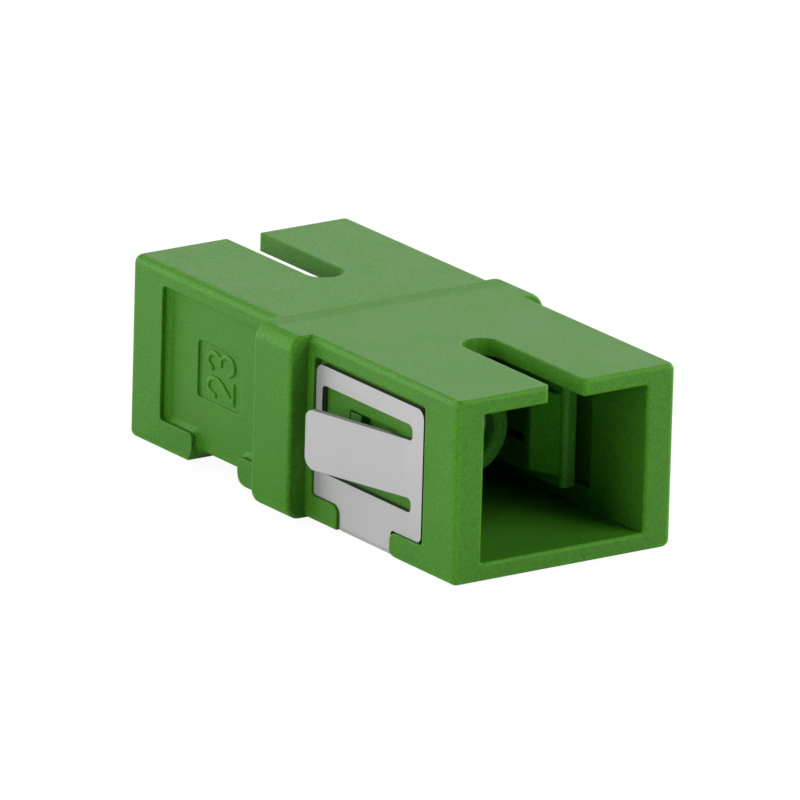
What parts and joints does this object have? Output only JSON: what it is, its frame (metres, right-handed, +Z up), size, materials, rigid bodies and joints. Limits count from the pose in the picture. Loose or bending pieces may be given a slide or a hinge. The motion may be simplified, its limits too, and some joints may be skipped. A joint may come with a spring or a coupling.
{
  "type": "fibre optic adapter",
  "caption": "Square-bodied fibre optic through adapter with a port at each end, a collar in the middle and a folded spring clip that holds it in a panel.",
  "frame": {"origin": "middle of the box round the part, on the light path", "axes": "+X along the light path and out of the port beside the spring clip, +Z up towards the keyways, +Y across"},
  "size_m": [0.0278, 0.0154, 0.0094],
  "materials": {
    "housing_plastic": "fine-grained matte green",
    "holder_plastic": "smooth matte green",
    "clip_steel": "satin spring steel",
    "sleeve_ceramic": "fine ground white"
  },
  "bodies": {
    "root": {"housing": "housing_plastic", "front_latch_holder": "holder_plastic", "rear_latch_holder": "holder_plastic", "alignment_sleeve": "sleeve_ceramic", "panel_clip": "clip_steel"}
  },
  "joints": []
}
